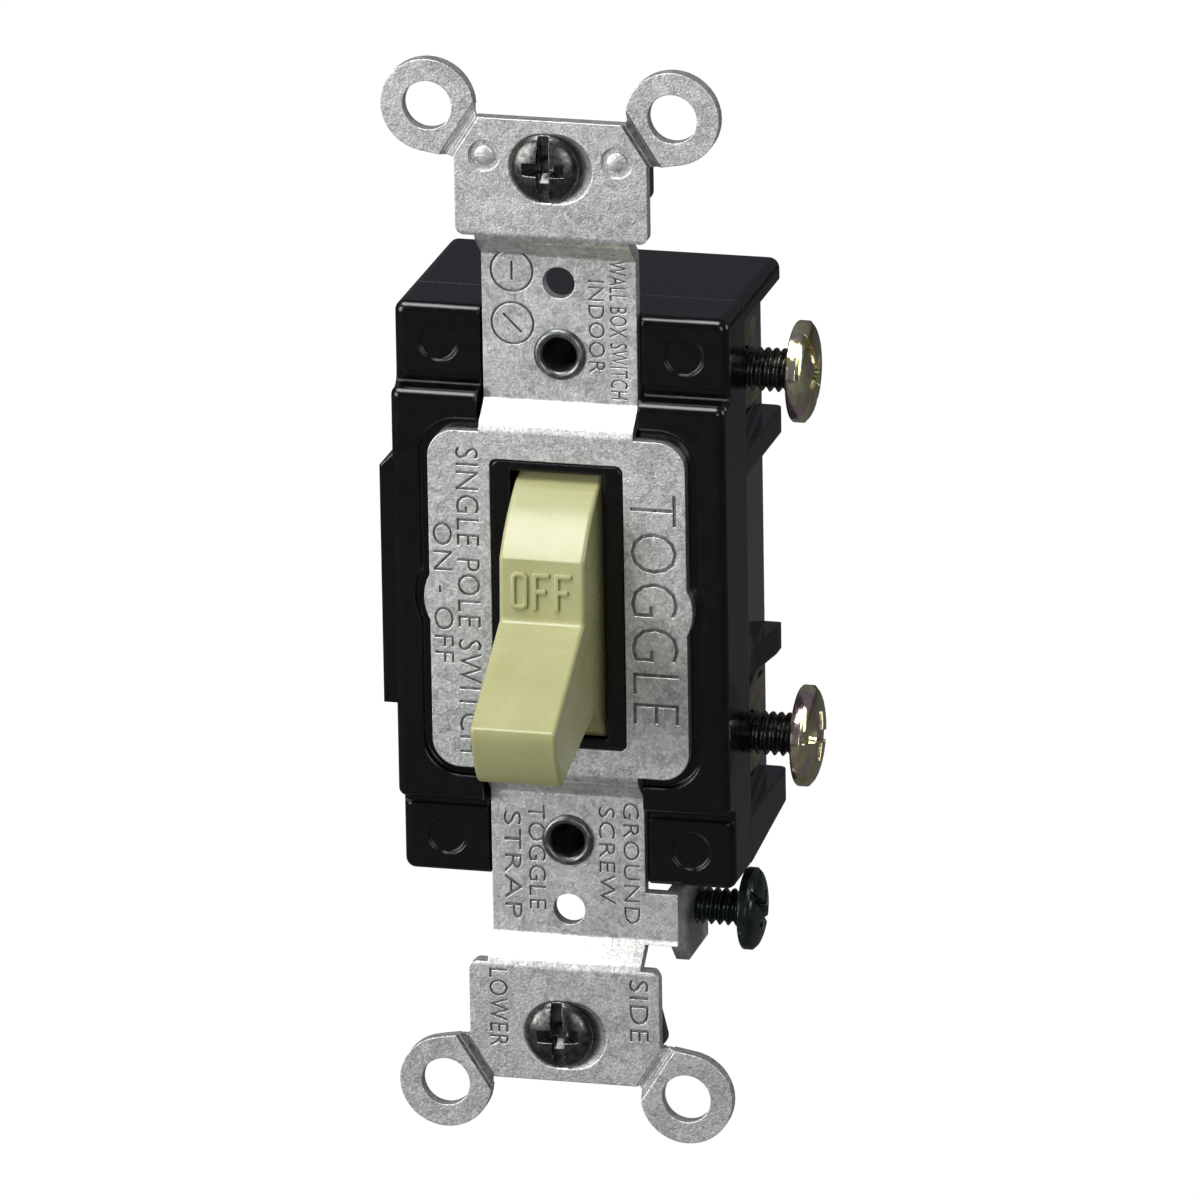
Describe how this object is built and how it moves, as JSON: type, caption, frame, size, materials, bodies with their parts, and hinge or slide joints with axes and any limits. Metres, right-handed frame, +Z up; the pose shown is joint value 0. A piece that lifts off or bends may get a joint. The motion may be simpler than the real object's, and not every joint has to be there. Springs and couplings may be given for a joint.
{
  "type": "toggle wall switch",
  "caption": "Framed toggle wall switch with a steel mounting strap, a black moulded case, an ivory lever, side terminal screws and a ground screw.",
  "frame": {"origin": "midway between the two mounting screws, on the back face of the strap's end plates", "axes": "+Z up along the strap, -Y out of the wall towards the hand, +X to the right as seen by the hand"},
  "size_m": [0.0379, 0.0407, 0.1028],
  "materials": {
    "zinc_steel": "zinc plated, fine spangle, satin",
    "black_phenolic": "glossy moulded",
    "ivory_plastic": "semi-gloss moulded, warm ivory",
    "screw_steel": "plated steel, satin",
    "rivet_steel": "rolled tube, satin",
    "washer_fibre": "black pressed fibre",
    "terminal_screw_brass": "plated brass, satin",
    "ground_screw_green": "dark green plated, satin",
    "terminal_brass": "stamped sheet",
    "contact_silver": "silver alloy button",
    "spring_steel": "drawn wire",
    "plunger_nylon": "natural nylon",
    "bumper_rubber": "soft rubber"
  },
  "bodies": {
    "frame": {"strap": "zinc_steel", "front_cover": "black_phenolic", "base_housing": "black_phenolic", "upper_rivet": "rivet_steel", "lower_rivet": "rivet_steel", "line_terminal": "terminal_brass", "load_terminal": "terminal_brass", "fixed_contact": "contact_silver", "rocker_pin": "rivet_steel", "upper_bumper": "bumper_rubber", "lower_bumper": "bumper_rubber", "upper_retaining_washer": "washer_fibre", "lower_retaining_washer": "washer_fibre"},
    "handle": {"toggle_handle": "ivory_plastic", "plunger_spring": "spring_steel"},
    "plunger": {"plunger": "plunger_nylon"},
    "rocker": {"contact_rocker": "terminal_brass", "moving_contact": "contact_silver"},
    "upper_mounting_screw": {"upper_mounting_screw": "screw_steel"},
    "lower_mounting_screw": {"lower_mounting_screw": "screw_steel"},
    "line_terminal_screw": {"line_terminal_screw": "terminal_screw_brass"},
    "load_terminal_screw": {"load_terminal_screw": "terminal_screw_brass"},
    "ground_screw": {"ground_screw": "ground_screw_green"}
  },
  "joints": [
    {"name": "handle_toggle", "type": "hinge", "parent": "frame", "child": "handle", "pos_m": [0, 0.0055, 0], "axis": [-1, 0, 0], "range_deg": [0, 45]},
    {"name": "plunger_slide", "type": "slide", "parent": "handle", "child": "plunger", "axis": [0, -0.9239, -0.3827], "range_m": [0, 0.0008], "stiffness_N_per_m": 300, "springref_m": -0.001, "deforming": ["plunger_spring"]},
    {"name": "rocker_turn", "type": "hinge", "parent": "frame", "child": "rocker", "pos_m": [0, 0.0146, 0], "axis": [1, 0, 0], "range_deg": [0, 14]},
    {"name": "upper_mounting_screw_run", "type": "slide", "parent": "frame", "child": "upper_mounting_screw", "axis": [0, -1, 0], "range_m": [0, 0.006]},
    {"name": "lower_mounting_screw_run", "type": "slide", "parent": "frame", "child": "lower_mounting_screw", "axis": [0, -1, 0], "range_m": [0, 0.006]},
    {"name": "line_terminal_screw_run", "type": "slide", "parent": "frame", "child": "line_terminal_screw", "axis": [1, 0, 0], "range_m": [-0.0034, 0.001]},
    {"name": "load_terminal_screw_run", "type": "slide", "parent": "frame", "child": "load_terminal_screw", "axis": [1, 0, 0], "range_m": [-0.0034, 0.001]},
    {"name": "ground_screw_run", "type": "slide", "parent": "frame", "child": "ground_screw", "axis": [1, 0, 0], "range_m": [-0.004, 0.001]}
  ],
  "couplings": [
    {"joint": "rocker_turn", "follows": "handle_toggle", "ratio": 0.31111}
  ]
}
